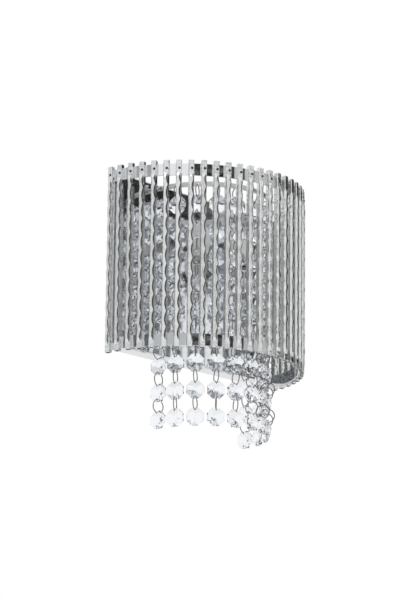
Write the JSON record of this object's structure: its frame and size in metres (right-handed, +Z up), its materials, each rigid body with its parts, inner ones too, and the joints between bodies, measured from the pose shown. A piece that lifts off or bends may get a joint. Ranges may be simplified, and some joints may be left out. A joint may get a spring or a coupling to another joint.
{
  "type": "crystal wall sconce",
  "caption": "Half-round wall light: crimped metal rods on curved bands round a U of hanging cut-crystal strings, on a chrome back pan.",
  "frame": {"origin": "on the wall plane, midway between the two wall-screw slots of the strap, at half the rods' height", "axes": "+Z up, +Y into the wall, +X along the wall to the light's own right as the viewer faces it"},
  "size_m": [0.1908, 0.0962, 0.2055],
  "materials": {
    "crimped_aluminium": "crimped and polished",
    "polished_chrome": "polished chrome plate",
    "cut_crystal": "cut and polished crystal glass",
    "nickel_wire": "nickel-plated wire",
    "zinc_plated_steel": "zinc-plated steel",
    "brass": "plain brass",
    "ceramic": "unglazed white ceramic",
    "lamp_glass": "clear quartz glass",
    "glass_fibre_sleeve": "woven glass-fibre sleeve",
    "black_plastic": "moulded nylon",
    "white_plastic": "moulded polyamide"
  },
  "bodies": {
    "root": {"wall_strap": "zinc_plated_steel", "plate_studs": "zinc_plated_steel", "cap_nuts": "polished_chrome", "earth_screw": "brass", "back_pan": "polished_chrome", "top_band": "polished_chrome", "bottom_band": "polished_chrome", "band_screws": "polished_chrome", "shade_rods": "crimped_aluminium", "crystal_hoop": "polished_chrome", "hoop_screws": "polished_chrome", "lamp_arms": "zinc_plated_steel", "arm_screws": "zinc_plated_steel", "lampholders": "ceramic", "holder_screws": "zinc_plated_steel", "lamp_bulbs": "lamp_glass", "lamp_pins": "zinc_plated_steel", "lead_sleeves": "glass_fibre_sleeve", "lead_bushings": "black_plastic", "terminal_block": "white_plastic"},
    "string_01": {"string_01_crystals": "cut_crystal", "string_01_links": "nickel_wire"},
    "string_02": {"string_02_crystals": "cut_crystal", "string_02_links": "nickel_wire"},
    "string_03": {"string_03_crystals": "cut_crystal", "string_03_links": "nickel_wire"},
    "string_04": {"string_04_crystals": "cut_crystal", "string_04_links": "nickel_wire"},
    "string_05": {"string_05_crystals": "cut_crystal", "string_05_links": "nickel_wire"},
    "string_06": {"string_06_crystals": "cut_crystal", "string_06_links": "nickel_wire"},
    "string_07": {"string_07_crystals": "cut_crystal", "string_07_links": "nickel_wire"},
    "string_08": {"string_08_crystals": "cut_crystal", "string_08_links": "nickel_wire"},
    "string_09": {"string_09_crystals": "cut_crystal", "string_09_links": "nickel_wire"},
    "string_10": {"string_10_crystals": "cut_crystal", "string_10_links": "nickel_wire"},
    "string_11": {"string_11_crystals": "cut_crystal", "string_11_links": "nickel_wire"}
  },
  "joints": [
    {"name": "string_01_swing", "type": "hinge", "parent": "root", "child": "string_01", "pos_m": [-0.051, -0.0196, 0.0643], "axis": [0, 1, 0], "range_deg": [-1.5, 3]},
    {"name": "string_02_swing", "type": "hinge", "parent": "root", "child": "string_02", "pos_m": [-0.04884, -0.03569, 0.0643], "axis": [-0.2881, 0.9576, 0], "range_deg": [-1.5, 3]},
    {"name": "string_03_swing", "type": "hinge", "parent": "root", "child": "string_03", "pos_m": [-0.04175, -0.05029, 0.0643], "axis": [-0.5744, 0.8186, 0], "range_deg": [-1.5, 3]},
    {"name": "string_04_swing", "type": "hinge", "parent": "root", "child": "string_04", "pos_m": [-0.03043, -0.06193, 0.0643], "axis": [-0.8025, 0.5966, 0], "range_deg": [-1.5, 3]},
    {"name": "string_05_swing", "type": "hinge", "parent": "root", "child": "string_05", "pos_m": [-0.01603, -0.06942, 0.0643], "axis": [-0.9493, 0.3142, 0], "range_deg": [-1.5, 3]},
    {"name": "string_06_swing", "type": "hinge", "parent": "root", "child": "string_06", "pos_m": [0, -0.072, 0.0643], "axis": [-1, 0, 0], "range_deg": [-1.5, 3]},
    {"name": "string_07_swing", "type": "hinge", "parent": "root", "child": "string_07", "pos_m": [0.01603, -0.06942, 0.0643], "axis": [-0.9493, -0.3142, 0], "range_deg": [-1.5, 3]},
    {"name": "string_08_swing", "type": "hinge", "parent": "root", "child": "string_08", "pos_m": [0.03043, -0.06193, 0.0643], "axis": [-0.8025, -0.5966, 0], "range_deg": [-1.5, 3]},
    {"name": "string_09_swing", "type": "hinge", "parent": "root", "child": "string_09", "pos_m": [0.04175, -0.05029, 0.0643], "axis": [-0.5744, -0.8186, 0], "range_deg": [-1.5, 3]},
    {"name": "string_10_swing", "type": "hinge", "parent": "root", "child": "string_10", "pos_m": [0.04884, -0.03569, 0.0643], "axis": [-0.2881, -0.9576, 0], "range_deg": [-1.5, 3]},
    {"name": "string_11_swing", "type": "hinge", "parent": "root", "child": "string_11", "pos_m": [0.051, -0.0196, 0.0643], "axis": [0, -1, 0], "range_deg": [-1.5, 3]}
  ]
}
